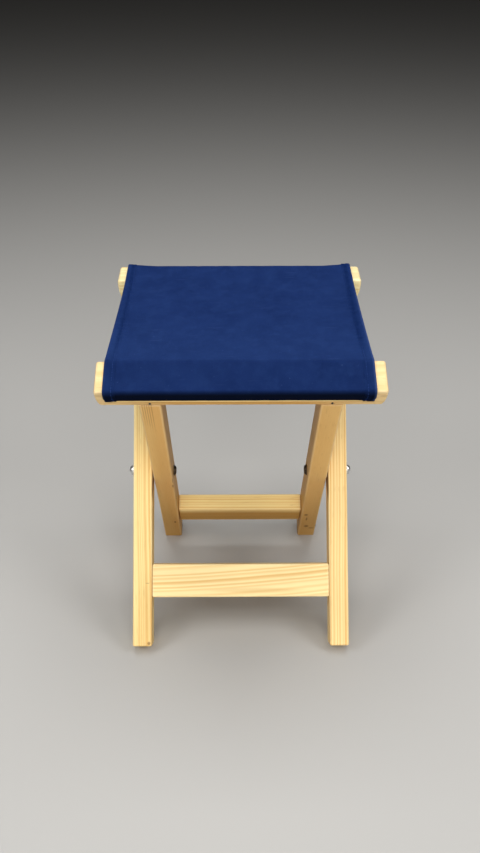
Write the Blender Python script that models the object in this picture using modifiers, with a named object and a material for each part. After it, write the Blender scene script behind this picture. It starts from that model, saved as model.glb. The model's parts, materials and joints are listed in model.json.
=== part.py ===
"""Folding stool: crossed pine leg frames on a riveted pivot, with a canvas sling seat."""
import math

import bmesh
import bpy
from mathutils import Matrix, Vector

# Lengths are in metres. X runs across the stool, Y from front to back and Z up.

# Clearance between pieces that touch
FIT_GAP = 0.0003

# Leg frames. Both pairs lean by the same angle and cross at the pivot.
LEAN = math.radians(34.9)
LEG_THICKNESS = 0.024
LEG_DEPTH = 0.034
LEG_DROP = 0.222            # pivot to the square-cut lower end
FOOT_TRIM = 0.0065          # how far up the leg the standing corner is cut level
INNER_LEG_RISE = 0.225      # pivot to the front rail's underside, along the leg's front face
OUTER_LEG_RISE = 0.2215     # pivot to the rear rail's underside, along the leg's front face
FRAME_WIDTH = 0.272         # across the outer faces of the outer legs
BOARD_EASE = 0.0022         # eased edges of legs and stretchers

# Stretchers
STRETCHER_WIDTH = 0.0415
STRETCHER_THICKNESS = 0.024
STRETCHER_LIFT = 0.0818     # square-cut lower end of a leg to the middle of a stretcher

# Seat rails
RAIL_WIDTH = 0.0415
RAIL_THICKNESS = 0.025
RAIL_OVERHANG = 0.020       # past the outer faces of the outer legs
RAIL_EDGE_RADIUS = 0.0024
RAIL_TOP_CORNER = 0.0034    # radius of the ends' upper corners
RAIL_END_SWEEP = 0.006      # how far the ends draw in towards the underside
FRONT_RAIL_TILT = math.radians(8.5)     # back from square to the inner legs
REAR_RAIL_TILT = math.radians(4.0)      # forward from level

# Canvas sling and the splines that wedge its ends into the rails
CANVAS_THICKNESS = 0.0012
CANVAS_INSET = 0.0110       # from the rail ends to the canvas edges
CANVAS_LAP = 0.0135         # down the rails' outer faces
CANVAS_END_TAPER = 0.0025   # each edge draws in over the lap
CANVAS_TUCK = 0.009         # into the groove
SLING_RUN = 0.060           # in line with the rear rail's top before the sling turns level
SPLINE_THICKNESS = 0.003

# Pivot rivets, washers and spacers
SHANK_DIAMETER = 0.0065
DOME_DIAMETER = 0.0126
DOME_HEIGHT = 0.0063
FORMED_HEAD_DIAMETER = 0.012
FORMED_HEAD_HEIGHT = 0.0022
WASHER_DIAMETER = 0.0142
WASHER_THICKNESS = 0.001
SPACER_DIAMETER = 0.020
SPACER_THICKNESS = 0.0015

# Dowels
DOWEL_DIAMETER = 0.008
DOWEL_LENGTH = 0.034
DOWEL_CHAMFER = 0.001
DOWEL_SPACING = 0.019

# Countersunk rail screws
SCREW_LENGTH = 0.042
SCREW_DIAMETER = 0.004
SCREW_HEAD_DIAMETER = 0.008
SCREW_HEAD_HEIGHT = 0.0025
SCREW_POINT = 0.005
SCREW_SINK = 0.0006

# Toe nails through the front rail's lower edge
NAIL_LENGTH = 0.020
NAIL_DIAMETER = 0.002
NAIL_HEAD_DIAMETER = 0.0026
NAIL_HEAD_HEIGHT = 0.001
NAIL_POINT = 0.003
NAIL_SINK = 0.0018
NAIL_SLOPE = math.radians(45.0)

# Facets
TURN_STEPS = 24
BOARD_EASE_STEPS = 3
RAIL_EDGE_STEPS = 3
ARC_STEPS = 8
SLING_STEPS = 24
CUTTER_MARGIN = 0.006       # how far a cutter stands out of the wood
WELD = 0.00001
SMOOTH_ANGLE = math.radians(35.0)
SQUARE_EDGE_ANGLE = math.radians(60.0)
FLAT_ANGLE = math.radians(0.5)

# Sizes that follow
HALF_DEPTH = LEG_DEPTH / 2
OUTER_LEG_FACE = FRAME_WIDTH / 2
OUTER_LEG_INSIDE = OUTER_LEG_FACE - LEG_THICKNESS
INNER_LEG_FACE = OUTER_LEG_INSIDE - SPACER_THICKNESS - 2 * FIT_GAP
INNER_LEG_INSIDE = INNER_LEG_FACE - LEG_THICKNESS
PIVOT_HEIGHT = HALF_DEPTH * math.sin(LEAN) + (LEG_DROP - FOOT_TRIM) * math.cos(LEAN)
STRETCHER_DROP = LEG_DROP - STRETCHER_LIFT
RAIL_HALF_LENGTH = OUTER_LEG_FACE + RAIL_OVERHANG
REAR_RAIL_ANGLE = LEAN + REAR_RAIL_TILT
CANVAS_HALF_WIDTH = RAIL_HALF_LENGTH - CANVAS_INSET
CANVAS_END_HALF_WIDTH = CANVAS_HALF_WIDTH - CANVAS_END_TAPER
CANVAS_LIFT = FIT_GAP + CANVAS_THICKNESS / 2
GROOVE_HEIGHT = CANVAS_THICKNESS + SPLINE_THICKNESS + 3 * FIT_GAP
GROOVE_DEPTH = CANVAS_TUCK + FIT_GAP
SCREW_PLACE = (GROOVE_DEPTH + RAIL_WIDTH) / 2
NAIL_PLACE = (CANVAS_LAP + GROOVE_HEIGHT + RAIL_THICKNESS) / 2
SIDES = (("left", -1), ("right", 1))

# Each frame's own axes: X across, Y towards the back and Z up the leg, from the pivot
OUTER_POSE = Matrix.Translation((0, 0, PIVOT_HEIGHT)) @ Matrix.Rotation(-LEAN, 4, "X")
INNER_POSE = Matrix.Translation((0, 0, PIVOT_HEIGHT)) @ Matrix.Rotation(LEAN, 4, "X")

# A rail's own axes: X along it, Y inwards from its outer edge and Z up from its top face
FRONT_RAIL_POSE = (
    Matrix.Translation((0, -HALF_DEPTH, INNER_LEG_RISE))
    @ Matrix.Rotation(-FRONT_RAIL_TILT, 4, "X")
    @ Matrix.Translation((0, 0, RAIL_THICKNESS))
)
REAR_RAIL_POSE = (
    Matrix.Translation((0, -HALF_DEPTH, OUTER_LEG_RISE))
    @ Matrix.Rotation(REAR_RAIL_ANGLE, 4, "X")
    @ Matrix.Rotation(math.pi, 4, "Z")
    @ Matrix.Translation((0, -RAIL_WIDTH, RAIL_THICKNESS))
)


# Scene set-up

def clear_scene():
    for old in list(bpy.data.objects):
        bpy.data.objects.remove(old, do_unlink=True)


def add_collection(name):
    collection = bpy.data.collections.new(name)
    bpy.context.scene.collection.children.link(collection)
    return collection


def add_material(name, colour, roughness, metallic=0.0):
    material = bpy.data.materials.new(name)
    material.use_nodes = True
    shader = material.node_tree.nodes["Principled BSDF"]
    shader.inputs["Base Color"].default_value = (*colour, 1.0)
    shader.inputs["Roughness"].default_value = roughness
    shader.inputs["Metallic"].default_value = metallic
    material.diffuse_color = (*colour, 1.0)
    return material


clear_scene()
PARTS = add_collection("folding_stool")
CUTTERS = add_collection("folding_stool_cutters")
PINE = add_material("pine", (0.85, 0.62, 0.33), 0.5)
CANVAS = add_material("navy_canvas", (0.015, 0.04, 0.14), 0.9)
POLISHED_STEEL = add_material("polished_steel", (0.75, 0.75, 0.76), 0.2, 1.0)
DARK_STEEL = add_material("dark_steel", (0.16, 0.16, 0.17), 0.4, 1.0)
ZINC = add_material("zinc_plate", (0.62, 0.63, 0.64), 0.35, 1.0)
NYLON = add_material("nylon", (0.82, 0.8, 0.74), 0.45)
BEECH = add_material("beech", (0.66, 0.45, 0.27), 0.6)


def add_empty(name, parent=None, pose=Matrix()):
    empty = bpy.data.objects.new(name, None)
    empty.empty_display_size = LEG_DEPTH
    PARTS.objects.link(empty)
    empty.parent = parent
    empty.matrix_basis = pose
    return empty


def add_piece(name, mesh, material, parent, pose=Matrix()):
    if not mesh.materials:
        mesh.materials.append(material)
    piece = bpy.data.objects.new(name, mesh)
    PARTS.objects.link(piece)
    piece.parent = parent
    piece.matrix_basis = pose
    return piece


def cut(pieces, name, mesh, parent, pose=Matrix()):
    """Take a cutter's shape out of each of the pieces."""
    cutter = bpy.data.objects.new(name, mesh)
    CUTTERS.objects.link(cutter)
    cutter.parent = parent
    cutter.matrix_basis = pose
    cutter.hide_render = True
    cutter.display_type = "WIRE"
    for piece in pieces:
        boolean = piece.modifiers.new(name, "BOOLEAN")
        boolean.operation = "DIFFERENCE"
        boolean.solver = "EXACT"
        boolean.object = cutter


# Shape helpers

def to_mesh(bm, name):
    bmesh.ops.recalc_face_normals(bm, faces=bm.faces[:])
    mesh = bpy.data.meshes.new(name)
    bm.to_mesh(mesh)
    bm.free()
    mesh.shade_smooth()
    mesh.set_sharp_from_angle(angle=SMOOTH_ANGLE)
    return mesh


def evaluated_mesh(blank):
    """The closed mesh of a curve or of an object with modifiers, which is then removed."""
    bpy.context.scene.collection.objects.link(blank)
    depsgraph = bpy.context.evaluated_depsgraph_get()
    raw = bpy.data.meshes.new_from_object(blank.evaluated_get(depsgraph))
    bm = bmesh.new()
    bm.from_mesh(raw)
    bmesh.ops.remove_doubles(bm, verts=bm.verts[:], dist=WELD)
    name = blank.name
    bpy.data.objects.remove(blank, do_unlink=True)
    bpy.data.meshes.remove(raw)
    return bm, name


def arc(centre, radii, start, end):
    """Points on an elliptical arc between two angles in degrees."""
    angles = [math.radians(start + (end - start) * step / ARC_STEPS) for step in range(ARC_STEPS + 1)]
    return [(centre[0] + radii[0] * math.cos(a), centre[1] + radii[1] * math.sin(a)) for a in angles]


def box(low, high):
    bm = bmesh.new()
    low = Vector(low)
    high = Vector(high)
    bmesh.ops.create_cube(bm, size=1.0, matrix=Matrix.LocRotScale((low + high) / 2, None, high - low))
    return bm


def planed_board(low, high, ease):
    """A squared board with all its edges eased."""
    bm = box(low, high)
    bmesh.ops.bevel(bm, geom=bm.edges[:], offset=ease, offset_type="OFFSET", segments=BOARD_EASE_STEPS,
                    profile=0.5, affect="EDGES")
    return bm


def saw(bm, point, normal):
    """Cut off what lies beyond a plane and close the sawn face."""
    everything = bm.verts[:] + bm.edges[:] + bm.faces[:]
    result = bmesh.ops.bisect_plane(bm, geom=everything, plane_co=point, plane_no=normal, clear_outer=True)
    sawn = [item for item in result["geom_cut"] if isinstance(item, bmesh.types.BMEdge)]
    bmesh.ops.edgenet_fill(bm, edges=sawn)


def turned(name, profile, ring=False):
    """A solid turned about Z from (radius, height) points that run down its outer side."""
    count = len(profile)
    edges = [(i, i + 1) for i in range(count - 1)]
    if ring:
        edges.append((count - 1, 0))
    mesh = bpy.data.meshes.new(name + "_profile")
    mesh.from_pydata([(radius, 0.0, height) for radius, height in profile], edges, [])
    blank = bpy.data.objects.new(name, mesh)
    screw = blank.modifiers.new("turn", "SCREW")
    screw.steps = TURN_STEPS
    screw.render_steps = TURN_STEPS
    screw.use_merge_vertices = True
    screw.merge_threshold = WELD
    return to_mesh(*evaluated_mesh(blank))


def along_x(side, x, y=0.0, z=0.0):
    """A pose at a point, with Z turned outwards along X on the given side."""
    return Matrix.Translation((side * x, y, z)) @ Matrix.Rotation(side * math.pi / 2, 4, "Y")


# Legs

def level_foot(bm, lean):
    """Saw the standing corner of a foot level with the floor."""
    floor = Matrix.Rotation(-lean, 3, "X") @ Vector((0, 0, -1))
    saw(bm, floor * PIVOT_HEIGHT, floor)


def outer_leg_mesh(side, name):
    """A leg whose top is cut to the tilted rear rail and flush with the rail's back."""
    blank_top = OUTER_LEG_RISE + RAIL_WIDTH + RAIL_THICKNESS
    inside, outside = sorted((side * OUTER_LEG_INSIDE, side * OUTER_LEG_FACE))
    bm = planed_board((inside, -HALF_DEPTH, -LEG_DROP), (outside, HALF_DEPTH, blank_top), BOARD_EASE)
    turn = REAR_RAIL_POSE.to_3x3()
    saw(bm, REAR_RAIL_POSE @ Vector((0, 0, -RAIL_THICKNESS - FIT_GAP)), turn @ Vector((0, 0, 1)))
    saw(bm, REAR_RAIL_POSE.translation, turn @ Vector((0, -1, 0)))
    level_foot(bm, -LEAN)
    return to_mesh(bm, name)


def inner_leg_mesh(side, name):
    """A leg whose top is cut to the tilted front rail."""
    blank_top = INNER_LEG_RISE + RAIL_THICKNESS
    inside, outside = sorted((side * INNER_LEG_INSIDE, side * INNER_LEG_FACE))
    bm = planed_board((inside, -HALF_DEPTH, -LEG_DROP), (outside, HALF_DEPTH, blank_top), BOARD_EASE)
    under_rail = FRONT_RAIL_POSE @ Vector((0, 0, -RAIL_THICKNESS - FIT_GAP))
    saw(bm, under_rail, FRONT_RAIL_POSE.to_3x3() @ Vector((0, 0, 1)))
    level_foot(bm, LEAN)
    return to_mesh(bm, name)


# Stretchers

def stretcher_mesh(name, leg_inside, front):
    """A board between two legs, with its front face at the given depth."""
    half = leg_inside - FIT_GAP
    low = (-half, front, -STRETCHER_DROP - STRETCHER_WIDTH / 2)
    high = (half, front + STRETCHER_THICKNESS, -STRETCHER_DROP + STRETCHER_WIDTH / 2)
    return to_mesh(planed_board(low, high, BOARD_EASE), name)


# Seat rails

def rail_outline():
    """The rail seen from the front: rounded upper corners and ends that sweep in below."""
    corner = RAIL_HALF_LENGTH - RAIL_TOP_CORNER
    sweep = RAIL_HALF_LENGTH - RAIL_END_SWEEP
    upper = (RAIL_TOP_CORNER, RAIL_TOP_CORNER)
    lower = (RAIL_END_SWEEP, RAIL_THICKNESS - RAIL_TOP_CORNER)
    points = arc((sweep, -RAIL_TOP_CORNER), lower, -90, 0)
    points += arc((corner, -RAIL_TOP_CORNER), upper, 0, 90)[1:]
    points += arc((-corner, -RAIL_TOP_CORNER), upper, 90, 180)
    points += arc((-sweep, -RAIL_TOP_CORNER), lower, 180, 270)[1:]
    return points


def rail_mesh(name):
    """The outline carried through the rail's width."""
    curve = bpy.data.curves.new(name, "CURVE")
    curve.dimensions = "2D"
    curve.fill_mode = "BOTH"
    curve.extrude = RAIL_WIDTH / 2
    spline = curve.splines.new("POLY")
    points = rail_outline()
    spline.points.add(len(points) - 1)
    for point, (x, z) in zip(spline.points, points):
        point.co = (x, z, 0.0, 1.0)
    spline.use_cyclic_u = True
    bm, name = evaluated_mesh(bpy.data.objects.new(name, curve))
    bmesh.ops.dissolve_limit(bm, angle_limit=FLAT_ANGLE, verts=bm.verts[:], edges=bm.edges[:])
    upright = Matrix.Translation((0, RAIL_WIDTH / 2, 0)) @ Matrix.Rotation(math.pi / 2, 4, "X")
    bmesh.ops.transform(bm, matrix=upright, verts=bm.verts[:])
    return to_mesh(bm, name)


def add_rail(name, parent, pose):
    """A rail with rounded edges and a stopped groove for the canvas in its outer face."""
    rail = add_piece(name, rail_mesh(name), PINE, parent, pose)
    bevel = rail.modifiers.new("rounded_edges", "BEVEL")
    bevel.width = RAIL_EDGE_RADIUS
    bevel.segments = RAIL_EDGE_STEPS
    bevel.limit_method = "ANGLE"
    bevel.angle_limit = SQUARE_EDGE_ANGLE
    half = CANVAS_END_HALF_WIDTH + FIT_GAP
    groove = box((-half, -CUTTER_MARGIN, -CANVAS_LAP - GROOVE_HEIGHT), (half, GROOVE_DEPTH, -CANVAS_LAP))
    cut([rail], name + "_groove", to_mesh(groove, name + "_groove"), parent, pose)
    return rail


def add_canvas_spline(name, parent, pose):
    """The strip that wedges the canvas end against the groove's upper wall."""
    lower = -CANVAS_LAP - GROOVE_HEIGHT + FIT_GAP
    low = (-CANVAS_END_HALF_WIDTH, FIT_GAP, lower)
    high = (CANVAS_END_HALF_WIDTH, GROOVE_DEPTH - FIT_GAP, lower + SPLINE_THICKNESS)
    return add_piece(name, to_mesh(box(low, high), name), PINE, parent, pose)


# Canvas sling

def rail_wrap():
    """The sling's middle line from its tucked end to the rail's inner edge, with its half width."""
    lip = arc((0, -CANVAS_LAP), (CANVAS_LIFT, CANVAS_LIFT), -90, -180)
    bend = RAIL_EDGE_RADIUS + CANVAS_LIFT
    edge = arc((RAIL_EDGE_RADIUS, -RAIL_EDGE_RADIUS), (bend, bend), 180, 90)
    wrap = [(CANVAS_TUCK, -CANVAS_LAP - CANVAS_LIFT, CANVAS_END_HALF_WIDTH)]
    wrap += [(y, z, CANVAS_END_HALF_WIDTH) for y, z in lip]
    wrap += [(y, z, CANVAS_HALF_WIDTH) for y, z in edge]
    wrap.append((RAIL_WIDTH - RAIL_EDGE_RADIUS, CANVAS_LIFT, CANVAS_HALF_WIDTH))
    return wrap


def sling_path():
    """The whole middle line in the outer frame's axes, as (y, z, half width)."""
    front_pose = OUTER_POSE.inverted() @ INNER_POSE @ FRONT_RAIL_POSE
    front = [(front_pose @ Vector((0, y, z)), half) for y, z, half in rail_wrap()]
    rear = [(REAR_RAIL_POSE @ Vector((0, y, z)), half) for y, z, half in rail_wrap()]
    rear_edge = rear[-1][0]
    turn = rear_edge + REAR_RAIL_POSE.to_3x3() @ Vector((0, SLING_RUN, 0))

    # Over the front rail's inner edge, from square to the rail to square to the sling
    centre = front_pose @ Vector((0, RAIL_WIDTH - RAIL_EDGE_RADIUS, -RAIL_EDGE_RADIUS))
    bend = RAIL_EDGE_RADIUS + CANVAS_LIFT
    rail_up = front_pose.to_3x3() @ Vector((0, 0, 1))
    run = turn - centre
    sling_up = Vector((0, -run.z, run.y)).normalized()
    start = math.degrees(math.atan2(rail_up.z, rail_up.y))
    end = math.degrees(math.atan2(sling_up.z, sling_up.y))
    over = [Vector((0, y, z)) for y, z in arc((centre.y, centre.z), (bend, bend), start, end)]

    # A parabola that leaves both rails in line with them
    leave = over[-1]
    steps = [step / SLING_STEPS for step in range(1, SLING_STEPS)]
    span = [leave * (1 - t) ** 2 + turn * 2 * t * (1 - t) + rear_edge * t ** 2 for t in steps]
    middle = [(point, CANVAS_HALF_WIDTH) for point in over[1:] + span]
    return [(point.y, point.z, half) for point, half in front + middle + rear[::-1]]


def add_canvas(name, parent):
    """The middle line drawn across the stool and thickened to the cloth."""
    bm = bmesh.new()
    left = [bm.verts.new((-half, y, z)) for y, z, half in sling_path()]
    edges = [bm.edges.new(pair) for pair in zip(left, left[1:])]
    drawn = bmesh.ops.extrude_edge_only(bm, edges=edges)
    for vertex in [item for item in drawn["geom"] if isinstance(item, bmesh.types.BMVert)]:
        vertex.co.x = -vertex.co.x
    canvas = add_piece(name, to_mesh(bm, name), CANVAS, parent)
    cloth = canvas.modifiers.new("cloth", "SOLIDIFY")
    cloth.thickness = CANVAS_THICKNESS
    cloth.offset = 0.0
    cloth.use_even_offset = True
    return canvas


# Pivots

def rivet_profile(grip):
    """A domed rivet, its Z axis outwards from the outer leg's face and its formed head inside."""
    dome = DOME_DIAMETER / 2
    shank = SHANK_DIAMETER / 2
    formed = FORMED_HEAD_DIAMETER / 2
    profile = arc((0, FIT_GAP), (dome, DOME_HEIGHT), 90, 0)
    profile += [(shank, FIT_GAP), (shank, -grip)]
    return profile + arc((0, -grip), (formed, FORMED_HEAD_HEIGHT), 0, -90)


def ring_profile(outer_diameter, thickness):
    """A flat ring that is free on the rivet's shank, its lower face at height 0."""
    outer = outer_diameter / 2
    bore = SHANK_DIAMETER / 2 + FIT_GAP
    return [(outer, thickness), (outer, 0.0), (bore, 0.0), (bore, thickness)]


def rod_profile(radius, top, bottom, chamfer=0.0):
    """A plain round rod between two heights."""
    if not chamfer:
        return [(0.0, top), (radius, top), (radius, bottom), (0.0, bottom)]
    end = radius - chamfer
    return [(0.0, top), (end, top), (radius, top - chamfer),
            (radius, bottom + chamfer), (end, bottom), (0.0, bottom)]


def add_pivots(outer_legs, inner_legs, parent):
    """Rivets through both legs, a spacer between them and a washer under the formed head."""
    stack = OUTER_LEG_FACE - INNER_LEG_INSIDE
    grip = stack + WASHER_THICKNESS + 2 * FIT_GAP
    bore = rod_profile(SHANK_DIAMETER / 2 + FIT_GAP, CUTTER_MARGIN, -stack - CUTTER_MARGIN)
    rivet_mesh = turned("pivot_rivet", rivet_profile(grip))
    spacer_mesh = turned("pivot_spacer", ring_profile(SPACER_DIAMETER, SPACER_THICKNESS), ring=True)
    washer_mesh = turned("pivot_washer", ring_profile(WASHER_DIAMETER, WASHER_THICKNESS), ring=True)
    bore_mesh = turned("pivot_bore", bore)
    for side_name, side in SIDES:
        face = along_x(side, OUTER_LEG_FACE)
        add_piece("pivot_rivet_" + side_name, rivet_mesh, POLISHED_STEEL, parent, face)
        between_legs = along_x(side, INNER_LEG_FACE + FIT_GAP)
        inside_leg = along_x(side, INNER_LEG_INSIDE - FIT_GAP - WASHER_THICKNESS)
        add_piece("pivot_spacer_" + side_name, spacer_mesh, NYLON, parent, between_legs)
        add_piece("pivot_washer_" + side_name, washer_mesh, DARK_STEEL, parent, inside_leg)
        cut([outer_legs[side], inner_legs[side]], "pivot_bore_" + side_name, bore_mesh, parent, face)


# Fasteners in the joints

def add_dowels(frame_name, stretcher, legs, leg_inside, depth, parent):
    """Two dowels at each end of a stretcher, half in the stretcher and half in the leg."""
    half = DOWEL_LENGTH / 2
    radius = DOWEL_DIAMETER / 2
    dowel_mesh = turned(frame_name + "_dowel", rod_profile(radius, half, -half, DOWEL_CHAMFER))
    hole = rod_profile(radius + FIT_GAP, half + FIT_GAP, -half - FIT_GAP)
    hole_mesh = turned(frame_name + "_dowel_hole", hole)
    for side_name, side in SIDES:
        for level_name, level in (("upper", 1), ("lower", -1)):
            name = "%s_dowel_%s_%s" % (frame_name, level_name, side_name)
            height = -STRETCHER_DROP + level * DOWEL_SPACING / 2
            pose = along_x(side, leg_inside - FIT_GAP / 2, depth, height)
            add_piece(name, dowel_mesh, BEECH, parent, pose)
            cut([stretcher, legs[side]], name + "_hole", hole_mesh, parent, pose)


def screw_profile(gap=0.0, above=0.0):
    """A countersunk screw, head upwards. A gap makes the hole that it fits, open above."""
    head = SCREW_HEAD_DIAMETER / 2 + gap
    shank = SCREW_DIAMETER / 2 + gap
    tip = -SCREW_LENGTH - gap
    profile = [(0.0, above), (head, above)]
    if above:
        profile.append((head, -gap))
    profile += [(shank, -SCREW_HEAD_HEIGHT - gap), (shank, tip + SCREW_POINT), (0.0, tip)]
    return profile


def add_rail_screws(frame_name, rail, legs, leg_middle, parent, rail_pose):
    """A screw down through the rail into each leg. The rear rail's own X axis runs the other way."""
    screw_mesh = turned(frame_name + "_rail_screw", screw_profile())
    hole_mesh = turned(frame_name + "_rail_screw_hole", screw_profile(FIT_GAP, CUTTER_MARGIN))
    rail_way = rail_pose.to_3x3().col[0].x
    for side_name, side in SIDES:
        name = "rail_screw_%s_%s" % (frame_name, side_name)
        pose = rail_pose @ Matrix.Translation((side * rail_way * leg_middle, SCREW_PLACE, -SCREW_SINK))
        add_piece(name, screw_mesh, ZINC, parent, pose)
        cut([rail, legs[side]], name + "_hole", hole_mesh, parent, pose)


def nail_profile(gap=0.0, above=0.0):
    """A nail, head upwards. A gap makes the hole that it fits, open above."""
    head = NAIL_HEAD_DIAMETER / 2 + gap
    shank = NAIL_DIAMETER / 2 + gap
    tip = -NAIL_LENGTH - gap
    under_head = -NAIL_HEAD_HEIGHT - gap
    return [(0.0, above), (head, above), (head, under_head), (shank, under_head),
            (shank, tip + NAIL_POINT), (0.0, tip)]


def add_toe_nails(rail, legs, leg_middle, parent, rail_pose):
    """Nails that slope down from the rail's outer face into the tops of the legs."""
    nail_mesh = turned("toe_nail", nail_profile())
    hole_mesh = turned("toe_nail_hole", nail_profile(FIT_GAP, CUTTER_MARGIN))
    slope = Matrix.Rotation(NAIL_SLOPE, 4, "X") @ Matrix.Translation((0, 0, -NAIL_SINK))
    for side_name, side in SIDES:
        pose = rail_pose @ Matrix.Translation((side * leg_middle, 0, -NAIL_PLACE)) @ slope
        add_piece("toe_nail_" + side_name, nail_mesh, DARK_STEEL, parent, pose)
        cut([rail, legs[side]], "toe_nail_hole_" + side_name, hole_mesh, parent, pose)


# Assembly

def centre_on_origin(root):
    """Shift the stool along Y so that its outer box is centred over the origin."""
    bpy.context.view_layer.update()
    depsgraph = bpy.context.evaluated_depsgraph_get()
    depths = []
    for piece in PARTS.objects:
        if piece.type == "MESH":
            mesh = piece.evaluated_get(depsgraph).to_mesh()
            depths += [(piece.matrix_world @ vertex.co).y for vertex in mesh.vertices]
    root.location.y = -(min(depths) + max(depths)) / 2
    bpy.context.view_layer.update()


def build_stool():
    root = add_empty("stool")
    outer = add_empty("outer_frame", root, OUTER_POSE)
    inner = add_empty("inner_frame", root, INNER_POSE)

    outer_legs = {}
    inner_legs = {}
    for side_name, side in SIDES:
        outer_name = "outer_leg_" + side_name
        inner_name = "inner_leg_" + side_name
        outer_legs[side] = add_piece(outer_name, outer_leg_mesh(side, outer_name), PINE, outer)
        inner_legs[side] = add_piece(inner_name, inner_leg_mesh(side, inner_name), PINE, inner)

    front_face = -HALF_DEPTH
    centred_face = -STRETCHER_THICKNESS / 2
    front_mesh = stretcher_mesh("front_stretcher", OUTER_LEG_INSIDE, front_face)
    rear_mesh = stretcher_mesh("rear_stretcher", INNER_LEG_INSIDE, centred_face)
    front_stretcher = add_piece("front_stretcher", front_mesh, PINE, outer)
    rear_stretcher = add_piece("rear_stretcher", rear_mesh, PINE, inner)
    front_depth = front_face + STRETCHER_THICKNESS / 2
    add_dowels("front", front_stretcher, outer_legs, OUTER_LEG_INSIDE, front_depth, outer)
    add_dowels("rear", rear_stretcher, inner_legs, INNER_LEG_INSIDE, 0.0, inner)

    outer_middle = OUTER_LEG_FACE - LEG_THICKNESS / 2
    inner_middle = INNER_LEG_FACE - LEG_THICKNESS / 2
    front_rail = add_rail("front_seat_rail", inner, FRONT_RAIL_POSE)
    rear_rail = add_rail("rear_seat_rail", outer, REAR_RAIL_POSE)
    add_rail_screws("front", front_rail, inner_legs, inner_middle, inner, FRONT_RAIL_POSE)
    add_rail_screws("rear", rear_rail, outer_legs, outer_middle, outer, REAR_RAIL_POSE)
    add_toe_nails(front_rail, inner_legs, inner_middle, inner, FRONT_RAIL_POSE)

    add_canvas_spline("front_canvas_spline", inner, FRONT_RAIL_POSE)
    add_canvas_spline("rear_canvas_spline", outer, REAR_RAIL_POSE)
    add_canvas("canvas_seat", outer)
    add_pivots(outer_legs, inner_legs, outer)
    centre_on_origin(root)


build_stool()
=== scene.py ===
import json
import math

import bpy
import numpy as np
from mathutils import Matrix


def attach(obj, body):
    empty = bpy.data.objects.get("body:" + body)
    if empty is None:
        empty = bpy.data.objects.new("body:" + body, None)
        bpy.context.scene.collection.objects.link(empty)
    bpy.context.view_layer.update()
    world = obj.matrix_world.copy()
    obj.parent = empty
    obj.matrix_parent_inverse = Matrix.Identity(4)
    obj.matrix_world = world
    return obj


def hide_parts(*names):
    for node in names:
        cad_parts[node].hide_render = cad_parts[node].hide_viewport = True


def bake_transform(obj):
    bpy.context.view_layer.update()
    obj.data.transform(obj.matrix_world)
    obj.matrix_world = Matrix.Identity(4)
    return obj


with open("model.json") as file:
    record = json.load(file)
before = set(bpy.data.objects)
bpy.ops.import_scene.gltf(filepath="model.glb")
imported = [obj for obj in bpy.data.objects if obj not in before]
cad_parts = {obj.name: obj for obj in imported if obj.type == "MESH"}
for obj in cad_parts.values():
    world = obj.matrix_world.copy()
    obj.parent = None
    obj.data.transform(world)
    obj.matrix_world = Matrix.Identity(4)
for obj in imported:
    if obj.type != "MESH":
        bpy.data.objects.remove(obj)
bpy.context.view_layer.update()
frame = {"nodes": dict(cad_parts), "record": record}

print("frame loaded:", len(frame["nodes"]), "nodes")

# All lengths are metres. X runs across the stool, -Y towards the viewer, Z up.
stool = {
    "pivot": frame["record"]["behaviour"]["joints"][0]["pos_m"],
    "lean": math.radians(34.9),
    "legThickness": 0.024,
    "legDepth": 0.034,
    "legDrop": 0.222,
    "innerRise": 0.225,
    "outerRise": 0.2215,
    "outerFace": 0.136,
    "innerFace": 0.1099,
    "stretcherWidth": 0.0415,
    "stretcherThickness": 0.024,
    "stretcherDrop": 0.1402,
    "frontStretcherHalf": 0.1117,
    "rearStretcherHalf": 0.0856,
    "railWidth": 0.0415,
    "railThickness": 0.025,
    "railHalfLength": 0.156,
    "railEdge": 0.0024,
    "frontTilt": math.radians(8.5),
    "rearTilt": math.radians(4.0),
}


def linear(red, green, blue):  # screen colour 0-255 to linear RGBA
    c = np.array([red, green, blue]) / 255
    c = np.where(c > 0.04045, ((c + 0.055) / 1.055) ** 2.4, c / 12.92)
    return (*c.tolist(), 1.0)


# Camera, floor and lights

view = {
    "lens": 40.93,
    "sensorWidth": 36.0,
    "clipEnd": 100.0,
    "place": (-0.0076, -1.05225, 0.86858),
    "pitch": math.radians(59.60),
    "yaw": math.radians(-0.40),
}

studio = {
    "floor": linear(178, 177, 175),
    "floorRoughness": 0.75,
    "floorSize": 30.0,
    "ambient": (1.0, 0.96, 0.90, 1.0),
    "ambientStrength": 0.02,
    "lightColour": (1.0, 0.99, 0.97),
    "lights": [  # name, place, target, width, height, watts
        ("topSoftbox", (0.0, 0.2, 2.3), (0, 0.05, 0.25), 1.7, 1.5, 36.0),
        ("frontSoftbox", (0.0, -1.89, 1.68), (0, 0, 0.2), 1.5, 1.0, 24.0),
        ("lowSoftbox", (0.0, -2.35, 0.58), (0, 0, 0.2), 1.5, 0.6, 13.0),
        ("leftSoftbox", (-1.6, -0.9, 1.8), (0, 0, 0.2), 1.0, 1.0, 19.0),
        ("rightSoftbox", (1.6, -0.9, 1.8), (0, 0, 0.2), 1.0, 1.0, 19.0),
    ],
}


def makeCamera():
    lensData = bpy.data.cameras.new("photoCamera")
    lensData.lens = view["lens"]
    lensData.sensor_width = view["sensorWidth"]
    lensData.clip_end = view["clipEnd"]
    camera = bpy.data.objects.new("photoCamera", lensData)
    camera.location = view["place"]
    camera.rotation_euler = (view["pitch"], 0.0, view["yaw"])
    bpy.context.scene.collection.objects.link(camera)
    bpy.context.scene.camera = camera


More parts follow.
